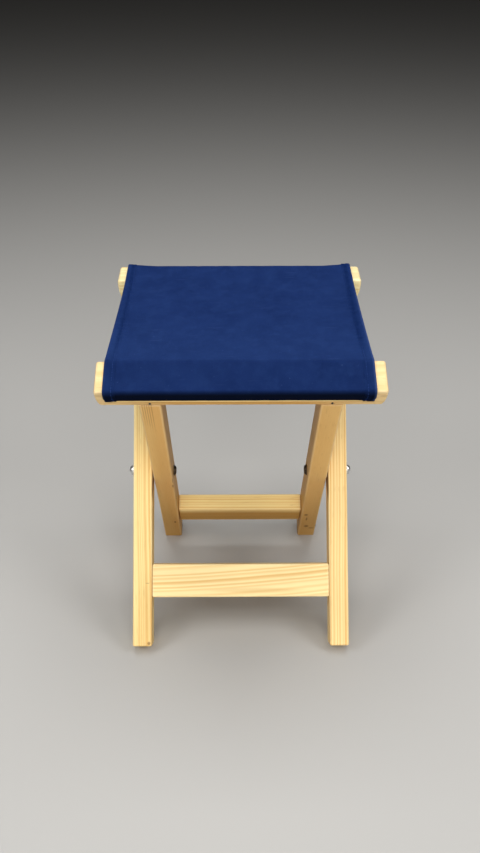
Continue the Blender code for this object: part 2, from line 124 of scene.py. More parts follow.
def makeLights():
    for name, place, target, width, height, watts in studio["lights"]:
        lamp = bpy.data.lights.new(name, "AREA")
        lamp.shape = "RECTANGLE"
        lamp.size = width
        lamp.size_y = height
        lamp.energy = watts
        lamp.color = studio["lightColour"]
        holder = bpy.data.objects.new(name, lamp)
        holder.location = place
        aim = np.array(target) - np.array(place)
        yaw = math.atan2(aim[1], aim[0]) - math.pi / 2
        tilt = math.atan2(math.hypot(aim[0], aim[1]), -aim[2])
        holder.rotation_euler = (tilt, 0.0, yaw)
        bpy.context.scene.collection.objects.link(holder)
    world = bpy.data.worlds.new("studioAir")
    world.use_nodes = True
    sky = world.node_tree.nodes["Background"]
    sky.inputs["Color"].default_value = studio["ambient"]
    sky.inputs["Strength"].default_value = studio["ambientStrength"]
    bpy.context.scene.world = world


def addFloor():
    corners = np.array([[[-1, -1, 0], [1, -1, 0]], [[-1, 1, 0], [1, 1, 0]]], float) * studio["floorSize"] / 2
    finish = {"Base Color": studio["floor"], "Roughness": studio["floorRoughness"]}
    mesh = meshFromFaces("studioFloor", corners, gridQuads(2, 2, False))
    floor = addPiece("studioFloor", mesh, newMaterial("paleFloor", finish)[0])


# Mesh helpers

def gridQuads(rings, count, closeRing):
    # quads between neighbours on a grid of rings; closeRing joins each ring's last place to its first
    i = np.arange(rings - 1)[:, None]
    j = np.arange(count - (0 if closeRing else 1))[None, :]
    after = (j + 1) % count
    corners = [i * count + j, i * count + after, (i + 1) * count + after, (i + 1) * count + j]
    return np.stack(corners, -1).reshape(-1, 4)


def meshFromFaces(name, points, *faceSets):
    # a closed surface is turned outwards: the sum of its corner volumes from the origin is positive
    points = points.reshape(-1, 3)
    volume = 0.0
    for faces in faceSets:
        for k in range(1, faces.shape[1] - 1):
            a, b, c = points[faces[:, 0]], points[faces[:, k]], points[faces[:, k + 1]]
            volume += np.einsum("ij,ij->i", a, np.cross(b, c)).sum()
    step = -1 if volume < 0 else 1
    faceList = [face for faces in faceSets for face in faces[:, ::step].tolist()]
    mesh = bpy.data.meshes.new(name)
    mesh.from_pydata(points.tolist(), [], faceList)
    mesh.polygons.foreach_set("use_smooth", np.ones(len(mesh.polygons), bool))
    mesh.update()
    return mesh


def addPiece(name, mesh, *materials):
    for material in materials:
        mesh.materials.append(material)
    piece = bpy.data.objects.new(name, mesh)
    bpy.context.scene.collection.objects.link(piece)
    return piece


def paintNode(name, material):
    for slot in frame["nodes"][name].material_slots:
        slot.material = material


# Shader helpers

def feed(tree, socket, value):
    if isinstance(value, bpy.types.NodeSocket):
        tree.links.new(value, socket)
    else:
        socket.default_value = value


def addNode(tree, kind, ins=None, **settings):
    made = tree.nodes.new(kind)
    for key, value in settings.items():
        setattr(made, key, value)
    for key, value in (ins or {}).items():
        feed(tree, made.inputs[key], value)
    return made


def maths(tree, operation, *values):
    made = addNode(tree, "ShaderNodeMath", operation=operation)
    for socket, value in zip(made.inputs, values):
        feed(tree, socket, value)
    return made.outputs[0]


def times(tree, first, second):
    return maths(tree, "MULTIPLY", first, second)


def plus(tree, first, second):
    return maths(tree, "ADD", first, second)


def vectorMaths(tree, operation, *values):
    made = addNode(tree, "ShaderNodeVectorMath", operation=operation)
    for socket, value in zip(made.inputs, values):
        feed(tree, socket, value)
    return made.outputs["Value" if operation == "LENGTH" else "Vector"]


def stretch(tree, vector, x, y, z):
    return vectorMaths(tree, "MULTIPLY", vector, (x, y, z))


def scaled(tree, vector, factor):
    return addNode(tree, "ShaderNodeVectorMath", {0: vector, "Scale": factor}, operation="SCALE").outputs[0]


def split(tree, vector):
    return addNode(tree, "ShaderNodeSeparateXYZ", {"Vector": vector}).outputs


def objectCoords(tree):
    return addNode(tree, "ShaderNodeTexCoord").outputs["Object"]


def ease(tree, value, low, high, toLow=0.0, toHigh=1.0):  # smooth step from low to high
    ins = {"Value": value, "From Min": low, "From Max": high, "To Min": toLow, "To Max": toHigh}
    return addNode(tree, "ShaderNodeMapRange", ins, interpolation_type="SMOOTHSTEP").outputs[0]


def mixColour(tree, factor, first, second, blend="MIX"):
    made = addNode(tree, "ShaderNodeMix", data_type="RGBA", blend_type=blend)
    feed(tree, made.inputs[0], factor)
    feed(tree, made.inputs[6], first)
    feed(tree, made.inputs[7], second)
    return made.outputs[2]


def noise(tree, vector, scale, detail=2.0, rough=0.5, output=0):
    ins = {"Vector": vector, "Scale": scale, "Detail": detail, "Roughness": rough}
    return addNode(tree, "ShaderNodeTexNoise", ins).outputs[output]


def newGroup(name, ins, outs):
    group = bpy.data.node_groups.new(name, "ShaderNodeTree")
    for socketName, kind, value in ins:
        socket = group.interface.new_socket(socketName, in_out="INPUT", socket_type="NodeSocket" + kind)
        socket.default_value = value
    for socketName, kind in outs:
        group.interface.new_socket(socketName, in_out="OUTPUT", socket_type="NodeSocket" + kind)
    source = group.nodes.new("NodeGroupInput")
    target = group.nodes.new("NodeGroupOutput")
    return group, source.outputs, target.inputs


def useGroup(tree, group, ins):
    return addNode(tree, "ShaderNodeGroup", ins, node_tree=group).outputs


def newMaterial(name, settings):
    material = bpy.data.materials.new(name)
    material.use_nodes = True
    tree = material.node_tree
    shader = tree.nodes["Principled BSDF"]
    for key, value in settings.items():
        shader.inputs[key].default_value = value
    return material, tree, shader


def addBump(tree, shader, height, strength, distance):
    ins = {"Height": height, "Strength": strength, "Distance": distance}
    feed(tree, shader.inputs["Normal"], addNode(tree, "ShaderNodeBump", ins).outputs[0])


# Shared effects as node groups

grain = {
    "bendStretch": (22, 22, 5.5),
    "fibreStretch": (1500, 1500, 26),
    "toneStretch": (30, 30, 7),
    "fleckStretch": (620, 620, 60),
    "fleckRange": (0.70, 0.80),
    "unevenRate": 0.55,
    "unevenShare": 1.5,
    "darken": (0.12, 0.60),
    "lighten": (0.62, 1.0),
    "weakest": 0.45,
}

edging = {"reach": 0.0032, "endReach": 0.0012}

spotCore = 0.35

weaving = {
    "pitch": 0.00075,
    "slub": 0.5,
    "slubRates": (1700, 45),
    "soft": 0.15,
    "bump": 0.5,
    "bumpDepth": 0.0003,
}


def makePineGrain():
    # Rings are shells round a heart line beside the board: ring = distance to it / ring width, bent by
    # noise. The heart line drifts and curves along the board. Each ring darkens, then lightens faster.
    still = (0, 0, 0)
    ins = [("Vector", "Vector", still), ("Heart", "Vector", still), ("Drift", "Vector", still),
           ("Curve", "Vector", still), ("Ring Width", "Float", 0.0045), ("Wander", "Float", 0.0016),
           ("Seed", "Float", 0.0)]
    outs = [("Late", "Float"), ("Fibre", "Float"), ("Tone", "Float"), ("Fleck", "Float")]
    group, give, take = newGroup("pineGrain", ins, outs)
    place = give["Vector"]
    seedStep = addNode(group, "ShaderNodeCombineXYZ", {"X": give["Seed"], "Y": give["Seed"]}).outputs[0]

    def seeded(key):
        return vectorMaths(group, "ADD", stretch(group, place, *grain[key]), seedStep)

    along = split(group, place)["Z"]
    bend = noise(group, seeded("bendStretch"), 1.0, 2.5, output="Color")
    bend = vectorMaths(group, "SUBTRACT", bend, (0.5, 0.5, 0.5))
    bend = scaled(group, bend, times(group, give["Wander"], 2.0))
    drift = scaled(group, give["Drift"], along)
    curve = scaled(group, give["Curve"], times(group, along, along))
    fromHeart = vectorMaths(group, "SUBTRACT", place, give["Heart"])
    fromHeart = vectorMaths(group, "ADD", fromHeart, vectorMaths(group, "ADD", drift, curve))
    fromHeart = vectorMaths(group, "ADD", fromHeart, bend)
    distance = vectorMaths(group, "LENGTH", stretch(group, fromHeart, 1, 1, 0))
    ring = plus(group, maths(group, "DIVIDE", distance, give["Ring Width"]), give["Seed"])
    ins = {"W": ring, "Scale": grain["unevenRate"], "Detail": 1.0}
    uneven = addNode(group, "ShaderNodeTexNoise", ins, noise_dimensions="1D").outputs[0]
    ring = plus(group, ring, times(group, uneven, grain["unevenShare"]))
    inRing = maths(group, "FRACT", ring)
    ins = {"W": maths(group, "FLOOR", ring)}
    strength = addNode(group, "ShaderNodeTexWhiteNoise", ins, noise_dimensions="1D").outputs["Value"]
    darker = ease(group, inRing, *grain["darken"])
    late = times(group, darker, ease(group, inRing, *grain["lighten"], 1.0, 0.0))
    late = times(group, late, ease(group, strength, 0.0, 1.0, grain["weakest"], 1.0))
    fibre = noise(group, seeded("fibreStretch"), 1.0, 3.0, 0.6)
    tone = noise(group, seeded("toneStretch"), 1.0)
    fleck = ease(group, noise(group, seeded("fleckStretch"), 1.0, 0.0), *grain["fleckRange"])
    for name, value in (("Late", late), ("Fibre", fibre), ("Tone", tone), ("Fleck", fleck)):
        feed(group, take[name], value)
    return group


def makeBoardEdges():
    # An edge is where two of the three distances from the board's middle both come near their limits.
    ins = [("Vector", "Vector", (0, 0, 0)), ("Half Size", "Vector", (0.01, 0.01, 0.1)),
           ("Reach", "Float", edging["reach"])]
    group, give, take = newGroup("boardEdges", ins, [("Edge", "Float"), ("End", "Float")])
    fromMiddle = vectorMaths(group, "ABSOLUTE", give["Vector"])
    parts = split(group, vectorMaths(group, "SUBTRACT", give["Half Size"], fromMiddle))
    near = [ease(group, part, 0.0, give["Reach"], 1.0, 0.0) for part in parts]
    pairs = [times(group, near[a], near[b]) for a, b in ((0, 1), (1, 2), (0, 2))]
    edge = maths(group, "MAXIMUM", maths(group, "MAXIMUM", pairs[0], pairs[1]), pairs[2])
    feed(group, take["Edge"], edge)
    feed(group, take["End"], ease(group, parts[2], 0.0, edging["endReach"], 1.0, 0.0))
    return group


def makeSpot():
    # A soft-edged blot: one inside the reach round a place, fading to nothing at its rim.
    ins = [("Vector", "Vector", (0, 0, 0)), ("Place", "Vector", (0, 0, 0)), ("Reach", "Vector", (1, 1, 1))]
    group, give, take = newGroup("spot", ins, [("Mask", "Float")])
    away = vectorMaths(group, "SUBTRACT", give["Vector"], give["Place"])
    away = vectorMaths(group, "LENGTH", vectorMaths(group, "DIVIDE", away, give["Reach"]))
    feed(group, take["Mask"], ease(group, away, spotCore, 1.0, 1.0, 0.0))
    return group


def makeWeave():
    # Plain weave: warp and weft threads are half waves across their pitch. A chequer says which lies on top.
    ins = [("Vector", "Vector", (0, 0, 0)), ("Pitch", "Float", weaving["pitch"]),
           ("Slub", "Float", weaving["slub"])]
    group, give, take = newGroup("plainWeave", ins, [("Height", "Float")])
    parts = split(group, scaled(group, give["Vector"], maths(group, "DIVIDE", math.pi, give["Pitch"])))
    across = maths(group, "SINE", parts[0])
    down = maths(group, "SINE", parts[1])
    chequer = ease(group, times(group, across, down), -weaving["soft"], weaving["soft"])
    unchequer = maths(group, "SUBTRACT", 1.0, chequer)
    over = times(group, maths(group, "ABSOLUTE", across), chequer)
    under = times(group, maths(group, "ABSOLUTE", down), unchequer)
    fast, slow = weaving["slubRates"]
    slubWarp = noise(group, stretch(group, give["Vector"], fast, slow, 0), 1.0, 1.0)
    slubWeft = noise(group, stretch(group, give["Vector"], slow, fast, 0), 1.0, 1.0)
    slub = plus(group, times(group, slubWarp, chequer), times(group, slubWeft, unchequer))
    slub = times(group, maths(group, "SUBTRACT", slub, 0.5), give["Slub"])
    feed(group, take["Height"], plus(group, plus(group, over, under), slub))
    return group


effects = {"grain": makePineGrain(), "edges": makeBoardEdges(), "spot": makeSpot(), "weave": makeWeave()}
print("node groups built:", ", ".join(effects))


# Pine boards: the CAD nodes keep their shape, and each board gets its own cut of the same wood

pine = {
    "early": linear(251, 224, 158),
    "late": linear(226, 174, 96),
    "fleck": linear(176, 122, 62),
    "edge": linear(255, 236, 190),
    "endGrain": linear(196, 150, 92),
    "markAndShade": linear(112, 58, 14),
    "heartwoodAndShade": linear(188, 130, 40),
    "wander": 0.0016,
    "lateShare": 0.9,
    "fibreRange": (0.25, 0.75),
    "fibreShare": 0.16,
    "fleckShare": 0.15,
    "toneRange": (0.3, 0.7),
    "toneDark": 0.93,
    "endShare": 0.55,
    "wearRange": (0.2, 0.8),
    "wearAndHighlightShare": (0.15, 0.5),
    "roughness": (0.36, 0.46),
    "fibreRoughness": 0.10,
    "lateRelief": 0.5,
    "fibreRelief": 0.35,
    "bump": 0.12,
    "bumpDepth": 0.0004,
    "shader": {"Specular IOR Level": 0.06},
}

stretcherSection = (stool["stretcherWidth"] / 2, stool["stretcherThickness"] / 2)

half = {
    "leg": (stool["legThickness"] / 2, stool["legDepth"] / 2, (stool["legDrop"] + stool["innerRise"]) / 2),
    "stretcher": (*stretcherSection, stool["frontStretcherHalf"]),
    "rearStretcher": (*stretcherSection, stool["rearStretcherHalf"]),
    "rail": (stool["railThickness"] / 2, stool["railWidth"] / 2, stool["railHalfLength"]),
}


def framePoint(which, q, s):  # a point q behind and s above the pivot in a leg frame's own axes, as (y, z)
    turn = stool["lean"] if which == "inner" else -stool["lean"]
    y = q * math.cos(turn) - s * math.sin(turn) + stool["pivot"][1]
    z = q * math.sin(turn) + s * math.cos(turn) + stool["pivot"][2]
    return np.array([y, z])


def railAxes(which):  # a rail's outer top edge, its inward and its upward direction, as (y, z)
    turn = stool["lean"] - stool["frontTilt"] if which == "front" else stool["rearTilt"]
    back = np.array([math.cos(turn), math.sin(turn)])
    up = np.array([-math.sin(turn), math.cos(turn)])
    if which == "front":
        base = framePoint("inner", -stool["legDepth"] / 2, stool["innerRise"])
        return base + up * stool["railThickness"], back, up
    base = framePoint("outer", -stool["legDepth"] / 2, stool["outerRise"])
    return base + back * stool["railWidth"] + up * stool["railThickness"], -back, up


def lyingTurn(lean):  # board Z along the stool's X, board X downwards
    return tuple((Matrix.Rotation(lean, 3, "X") @ Matrix.Rotation(math.pi / 2, 3, "Y")).to_euler("XYZ"))


def boardPose(kind, which, side):  # a board's middle, and the turn that takes its grain to its own Z axis
    lean = stool["lean"] if which == "inner" else -stool["lean"]
    if kind == "leg":
        top = stool["innerRise"] if which == "inner" else stool["outerRise"]
        face = stool["innerFace"] if which == "inner" else stool["outerFace"]
        y, z = framePoint(which, 0.0, (top - stool["legDrop"]) / 2)
        return (side * (face - stool["legThickness"] / 2), y, z), (lean, 0.0, 0.0)
    if kind == "stretcher":
        shift = (stool["stretcherThickness"] - stool["legDepth"]) / 2 if which == "outer" else 0.0
        y, z = framePoint(which, shift, -stool["stretcherDrop"])
        return (0.0, y, z), lyingTurn(lean)
    corner, inward, up = railAxes(which)
    y, z = corner + inward * stool["railWidth"] / 2 - up * stool["railThickness"] / 2
    tilt = stool["lean"] - stool["frontTilt"] if which == "front" else stool["rearTilt"]
    return (0.0, y, z), lyingTurn(tilt)


def makePine(name, pose, halfSize, board):
    # early wood turns to late wood in each ring; over it come fibres, flecks, a slow change of tone, end
    # grain, edges lightened as wear and as painted highlight, and blots, some of them painted shade
    material, tree, shader = newMaterial(name, pine["shader"])
    ins = {"Vector": objectCoords(tree), "Location": pose[0], "Rotation": pose[1]}
    local = addNode(tree, "ShaderNodeMapping", ins, vector_type="TEXTURE").outputs[0]
    wood = useGroup(tree, effects["grain"], {
        "Vector": local, "Heart": board["heart"], "Drift": board.get("drift", (0, 0, 0)),
        "Curve": board.get("curve", (0, 0, 0)), "Ring Width": board["ring"],
        "Wander": board.get("wander", pine["wander"]), "Seed": board["seed"]})
    edges = useGroup(tree, effects["edges"], {"Vector": local, "Half Size": halfSize})
    late = times(tree, wood["Late"], pine["lateShare"] * board.get("contrast", 1.0))
    colour = mixColour(tree, late, pine["early"], pine["late"])
    fibre = ease(tree, wood["Fibre"], *pine["fibreRange"])
    colour = mixColour(tree, times(tree, fibre, pine["fibreShare"]), colour, pine["late"])
    fleck = times(tree, wood["Fleck"], board.get("fleck", pine["fleckShare"]))
    colour = mixColour(tree, fleck, colour, pine["fleck"])
    tint = board.get("tint", (1, 1, 1))
    darkTint = [t * pine["toneDark"] for t in tint]
    shade = mixColour(tree, ease(tree, wood["Tone"], *pine["toneRange"]), (*darkTint, 1), (*tint, 1))
    colour = mixColour(tree, 1.0, colour, shade, "MULTIPLY")
    colour = mixColour(tree, times(tree, edges["End"], pine["endShare"]), colour, pine["endGrain"])
    # edges lightened towards the edge colour, partly as wear and partly as painted highlight where the
    # rounded edges catch the light
    wearAndHighlight = times(tree, edges["Edge"], ease(tree, wood["Tone"], *pine["wearRange"], *pine["wearAndHighlightShare"]))
    colour = mixColour(tree, wearAndHighlight, colour, pine["edge"])
    # blots: real streaks, knots and nail stains, and also painted shade on faces that lie in shadow
    blots = [(blot, "heartwoodAndShade") for blot in board.get("streaks", ())]
    blots += [(blot, "markAndShade") for blot in board.get("marks", ())]
    for (place, reach, amount), tone in blots:
        mask = useGroup(tree, effects["spot"], {"Vector": local, "Place": place, "Reach": reach})["Mask"]
        colour = mixColour(tree, times(tree, mask, amount), colour, pine[tone])
    feed(tree, shader.inputs["Base Color"], colour)
    polish = ease(tree, wood["Tone"], *pine["wearRange"], *pine["roughness"])
    feed(tree, shader.inputs["Roughness"], plus(tree, times(tree, fibre, pine["fibreRoughness"]), polish))
    lateRelief = times(tree, wood["Late"], pine["lateRelief"])
    relief = plus(tree, lateRelief, times(tree, fibre, pine["fibreRelief"]))
    addBump(tree, shader, relief, pine["bump"], pine["bumpDepth"])
    return material


# Streaks and marks are (place on the board, reach, amount) in the board's own axes

legFront = -stool["legDepth"] / 2
railFront = -0.0208
# painted shade: the inner legs, which face down under the seat, are tinted darker and browner than the other
# boards
innerShadeTint = (0.83, 0.68, 0.55)
innerFoot = ((0, legFront, -0.24), (0.05, 0.05, 0.26), 0.38)  # painted shade: darker and browner towards the inner legs' feet


def innerSideShade(side):  # painted shade on the side of an inner leg that faces the other one
    return (side * 0.0145, 0, 0), (0.0050, 0.06, 1.0), 0.36


def crossingShade(side):  # painted shadow on an outer leg's inner side, in the gap where the inner leg crosses it
    return (side * 0.0135, -0.010, -0.022), (0.0030, 0.024, 0.030), 0.95


topLines = [((x, legFront, 0.216), (0.0008, 0.003, 0.078 + 3 * x), 0.34)
            for x in (-0.0086, -0.0062, -0.0038, -0.0014, 0.0012)]
nailRims = [((0.0093, railFront, z), (0.0016, 0.003, 0.0028), 0.75) for z in (-0.0979, 0.0979)]

boards = {
    "outer_leg_left": ("leg", "outer", -1, {
        "heart": (-0.085, 0.012, 0), "ring": 0.0036, "seed": 3.1, "drift": (0.016, 0.004, 0),
        "tint": (1.02, 1.05, 1.08), "contrast": 1.1,
        "streaks": [((0.004, legFront, -0.22), (0.02, 0.03, 0.11), 0.22)],
        "marks": [((0.0064, legFront, -0.1429), (0.0034, 0.002, 0.0006), 0.55),
                  ((0.0084, legFront, -0.2179), (0.0028, 0.004, 0.0030), 0.65), crossingShade(1)]}),
    "outer_leg_right": ("leg", "outer", 1, {
        "heart": (0.090, 0.010, 0), "ring": 0.0036, "seed": 8.4, "drift": (-0.010, 0.0, 0),
        "tint": (1.0, 1.0, 1.07), "contrast": 1.1, "marks": [crossingShade(-1)]}),
    "inner_leg_left": ("leg", "inner", -1, {
        "heart": (0.012, 0.080, 0), "ring": 0.0042, "seed": 12.7, "drift": (0.02, 0.0, 0), "contrast": 0.4,
        "tint": innerShadeTint, "streaks": [innerSideShade(1), innerFoot],
        "marks": topLines + [((0.0056, legFront, -0.1564), (0.0020, 0.002, 0.0042), 0.85),
                             ((0.0106, legFront, -0.0155), (0.0014, 0.003, 0.008), 0.6),
                             ((0.0112, legFront, 0.002), (0.001, 0.003, 0.014), 0.45)]}),
    "inner_leg_right": ("leg", "inner", 1, {
        "heart": (-0.010, 0.078, 0), "ring": 0.0043, "seed": 17.9, "drift": (-0.02, 0.0, 0), "contrast": 0.4,
        "tint": innerShadeTint, "streaks": [innerSideShade(-1), innerFoot],
        "marks": [((-0.0050, legFront, -0.1285), (0.0036, 0.002, 0.0045), 0.7),
                  ((-0.0032, legFront, -0.1460), (0.0016, 0.002, 0.0090), 0.6),
                  ((-0.0018, legFront, -0.1769), (0.0042, 0.002, 0.0065), 0.6),
                  ((0.0058, legFront, -0.1850), (0.0055, 0.002, 0.0035), 0.5),
                  ((0.0116, legFront, -0.1740), (0.0014, 0.003, 0.0080), 0.5)]}),
    "front_stretcher": ("stretcher", "outer", 0, {
        "heart": (0.110, 0.008, 0), "ring": 0.0058, "seed": 23.2, "drift": (0.07, 0.0, 0),
        "curve": (0.18, 0, 0), "wander": 0.0024, "tint": (1.02, 1.06, 1.20), "fleck": 0.04, "contrast": 0.9,
        "streaks": [((0.0125, -0.012, 0.022), (0.0045, 0.006, 0.075), 0.22)]}),
    # painted light and shade: the tint above one lightens its lit top, the streak darkens its shaded front
    # face
    "rear_stretcher": ("stretcher", "inner", 0, {
        "heart": (-0.03, 0.09, 0), "ring": 0.0036, "seed": 29.6, "drift": (0.02, 0.01, 0), "contrast": 0.9,
        "tint": (1.03, 1.04, 1.04), "streaks": [((0.004, -0.0135, 0.0), (0.03, 0.009, 0.4), 0.8)]}),
    # painted shade: the darker tint and the streak along the front face stand for the shadow under the
    # canvas lap
    "front_seat_rail": ("rail", "front", 0, {
        "heart": (0.07, -0.03, 0), "ring": 0.0048, "seed": 34.3, "drift": (0.03, 0.0, 0), "contrast": 0.5,
        "tint": (0.82, 0.81, 0.93), "streaks": [((0.008, -0.0225, 0.0), (0.02, 0.008, 0.19), 0.72)],
        "marks": [((-0.006, railFront, -0.1519), (0.0016, 0.003, 0.007), 0.3),
                  ((-0.0042, railFront, 0.1519), (0.0016, 0.003, 0.007), 0.3)] + nailRims}),
    "rear_seat_rail": ("rail", "rear", 0, {
        "heart": (0.06, 0.05, 0), "ring": 0.0047, "seed": 41.8, "drift": (-0.03, 0.01, 0), "contrast": 0.7,
        "tint": (0.88, 1.0, 1.24)}),
    "front_canvas_spline": ("rail", "front", 0, {"heart": (0.06, 0.05, 0), "ring": 0.004, "seed": 47.0}),
    "rear_canvas_spline": ("rail", "rear", 0, {"heart": (0.06, 0.05, 0), "ring": 0.004, "seed": 51.0}),
}


def dressBoards():
    for name, (kind, which, side, board) in boards.items():
        size = half["rearStretcher"] if name == "rear_stretcher" else half[kind]
        paintNode(name, makePine("pine_" + name, boardPose(kind, which, side), size, board))
    print("pine boards dressed:", len(boards))


# Canvas sling: one closed sheet, top and underside, with folded hems along both sides

canvas = {
    "lap": 0.0135,
    "lift": 0.0009,
    "tuck": 0.0085,
    "slingRun": 0.060,
    "halfWidth": 0.145,
    "lapHalfWidth": 0.1436,
    "tuckHalfWidth": 0.1392,
    "lapRise": 0.006,
    "grooveReach": 0.003,
    "lipThinning": (-0.0004, 0.0008),
    "lapHem": 0.8,
    "frontShift": -0.0016,
    "rearShift": -0.0004,
    "shiftEnd": 0.05,
    "heldReach": (0.004, 0.02),
    "thickness": 0.0010,
    "hemExtra": 0.0015,
    "hemShare": 0.6,
    "hemSpare": 0.0034,
    "hemDrop": (-0.0012, 0.0008),
    "hemSlope": (0.002, 0.019),
    "hemWave": 0.12,
    "topShare": 0.45,
    "frontInset": 0.0094,
    "rearInset": 0.0078,
    "insetChange": (0.045, 0.15),
    "furrowWidth": 0.0012,
    "stitchPitch": 0.0034,
    "stitchSink": 0.0007,
    "pucker": 0.00026,
    "puckerPitch": 0.0093,
    "puckerPlace": 0.002,
    "puckerWidth": 0.006,
    "ear": 0.0013,
    "earReach": 0.038,
    "earStart": (0.01, 0.03),
    "earEnd": (0.022, 0.012),
    "swell": 0.0004,
    "swellEdge": (0.008, 0.04),
    "crumple": 0.00011,
    "crumpleEdge": (0.010, 0.025),
    "tuckSteps": 11,
    "spanSteps": 200,
    "step": 0.0011,
    "fineStep": 0.00035,
    "fineReach": (0.002, 0.004),
    "leastStep": 0.0001,
    "across": 70,
}


def smooth(value, low, high):
    t = np.clip((value - low) / (high - low), 0.0, 1.0)
    return t * t * (3 - 2 * t)


def arcPoints(centre, radius, start, end, count):
    a = np.radians(np.linspace(start, end, count))
    return np.stack([centre[0] + radius * np.cos(a), centre[1] + radius * np.sin(a)], 1)


def railWrap(which):
    # from the tucked end, round the lip, up the outer face, over the top edge and across the rail's top
    r, lift, lap = stool["railEdge"], canvas["lift"], canvas["lap"]
    parts = [
        np.linspace((canvas["tuck"], -lap - lift), (0.0, -lap - lift), canvas["tuckSteps"] + 1)[:-1],
        arcPoints((0.0, -lap), lift, -90, -180, 9),
        np.linspace((-lift, -lap), (-lift, -r), 14)[1:-1],
        arcPoints((r, -r), r + lift, 180, 90, 13),
        np.linspace((r, lift), (stool["railWidth"] - r, lift), 30)[1:],
    ]
    local = np.concatenate(parts)
    corner, inward, up = railAxes(which)
    belowLap = local[:, 1] < -lap
    onLap = smooth(local[:, 1], -lap, -lap + canvas["lapRise"])
    inGroove = smooth(local[:, 0], 0.0, canvas["grooveReach"]) * belowLap
    thinning = smooth(local[:, 0], *canvas["lipThinning"]) * belowLap
    width = canvas["lapHalfWidth"] + (canvas["halfWidth"] - canvas["lapHalfWidth"]) * onLap
    width = width + (canvas["tuckHalfWidth"] - canvas["lapHalfWidth"]) * inGroove
    hem = (canvas["lapHem"] + (1 - canvas["lapHem"]) * onLap) * (1 - thinning)
    return corner + local[:, :1] * inward + local[:, 1:] * up, width, hem


def slingLine():
    # front wrap, an arc over the front rail's inner edge, a parabola to the rear rail, rear wrap reversed
    front, frontWidth, frontHem = railWrap("front")
    rear, rearWidth, rearHem = railWrap("rear")
    r, lift = stool["railEdge"], canvas["lift"]
    corner, inward, up = railAxes("front")
    centre = corner + inward * (stool["railWidth"] - r) - up * r
    turn = rear[-1] + railAxes("rear")[1] * canvas["slingRun"]
    run = turn - centre
    start = math.degrees(math.atan2(up[1], up[0]))
    end = math.degrees(math.atan2(run[0], -run[1]))
    over = arcPoints(centre, r + lift, start, end, 10)[1:]
    t = np.linspace(0, 1, canvas["spanSteps"])[1:-1, None]
    span = over[-1] * (1 - t) ** 2 + turn * 2 * t * (1 - t) + rear[-1] * t ** 2
    free = np.concatenate([over, span])
    line = np.concatenate([front, free, rear[::-1]])
    width = np.concatenate([frontWidth, np.full(len(free), canvas["halfWidth"]), rearWidth[::-1]])
    hem = np.concatenate([frontHem, np.ones(len(free)), rearHem[::-1]])
    s = np.concatenate([[0], np.cumsum(np.hypot(*np.diff(line, axis=0).T))])
    frontTop, rearTop, ends = s[len(front) - 1], s[len(front) + len(free)], s[-1]
    lips = s[canvas["tuckSteps"] - 1], s[len(line) - canvas["tuckSteps"]]
    samples = [np.arange(0, ends, canvas["step"]), [ends]]
    before, after = canvas["fineReach"]
    for lip in lips:
        samples.append(np.arange(lip - before, lip + after, canvas["fineStep"]))
    at = np.unique(np.round(np.concatenate(samples), 6))
    at = at[np.concatenate([[True], np.diff(at) > canvas["leastStep"]])]
    place = np.stack([np.interp(at, s, line[:, 0]), np.interp(at, s, line[:, 1])], 1)
    tangent = np.gradient(place, at, axis=0)
    tangent /= np.linalg.norm(tangent, axis=1, keepdims=True)
    normal = np.stack([-tangent[:, 1], tangent[:, 0]], 1)
    onRail, offRail = canvas["heldReach"]
    leaving = smooth(at, frontTop - onRail, frontTop + offRail)
    held = 1 - leaving * (1 - smooth(at, rearTop - offRail, rearTop + onRail))
    towardsFront = smooth(ends - at, *canvas["insetChange"])
    towardsRear = smooth(at, canvas["shiftEnd"], ends - canvas["shiftEnd"])
    return {"s": at, "place": place, "normal": normal, "held": held,
            "lips": lips, "edges": (frontTop, rearTop),
            "width": np.interp(at, s, width), "hem": np.interp(at, s, hem),
            "inset": canvas["rearInset"] + (canvas["frontInset"] - canvas["rearInset"]) * towardsFront,
            "shift": canvas["frontShift"] + (canvas["rearShift"] - canvas["frontShift"]) * towardsRear}


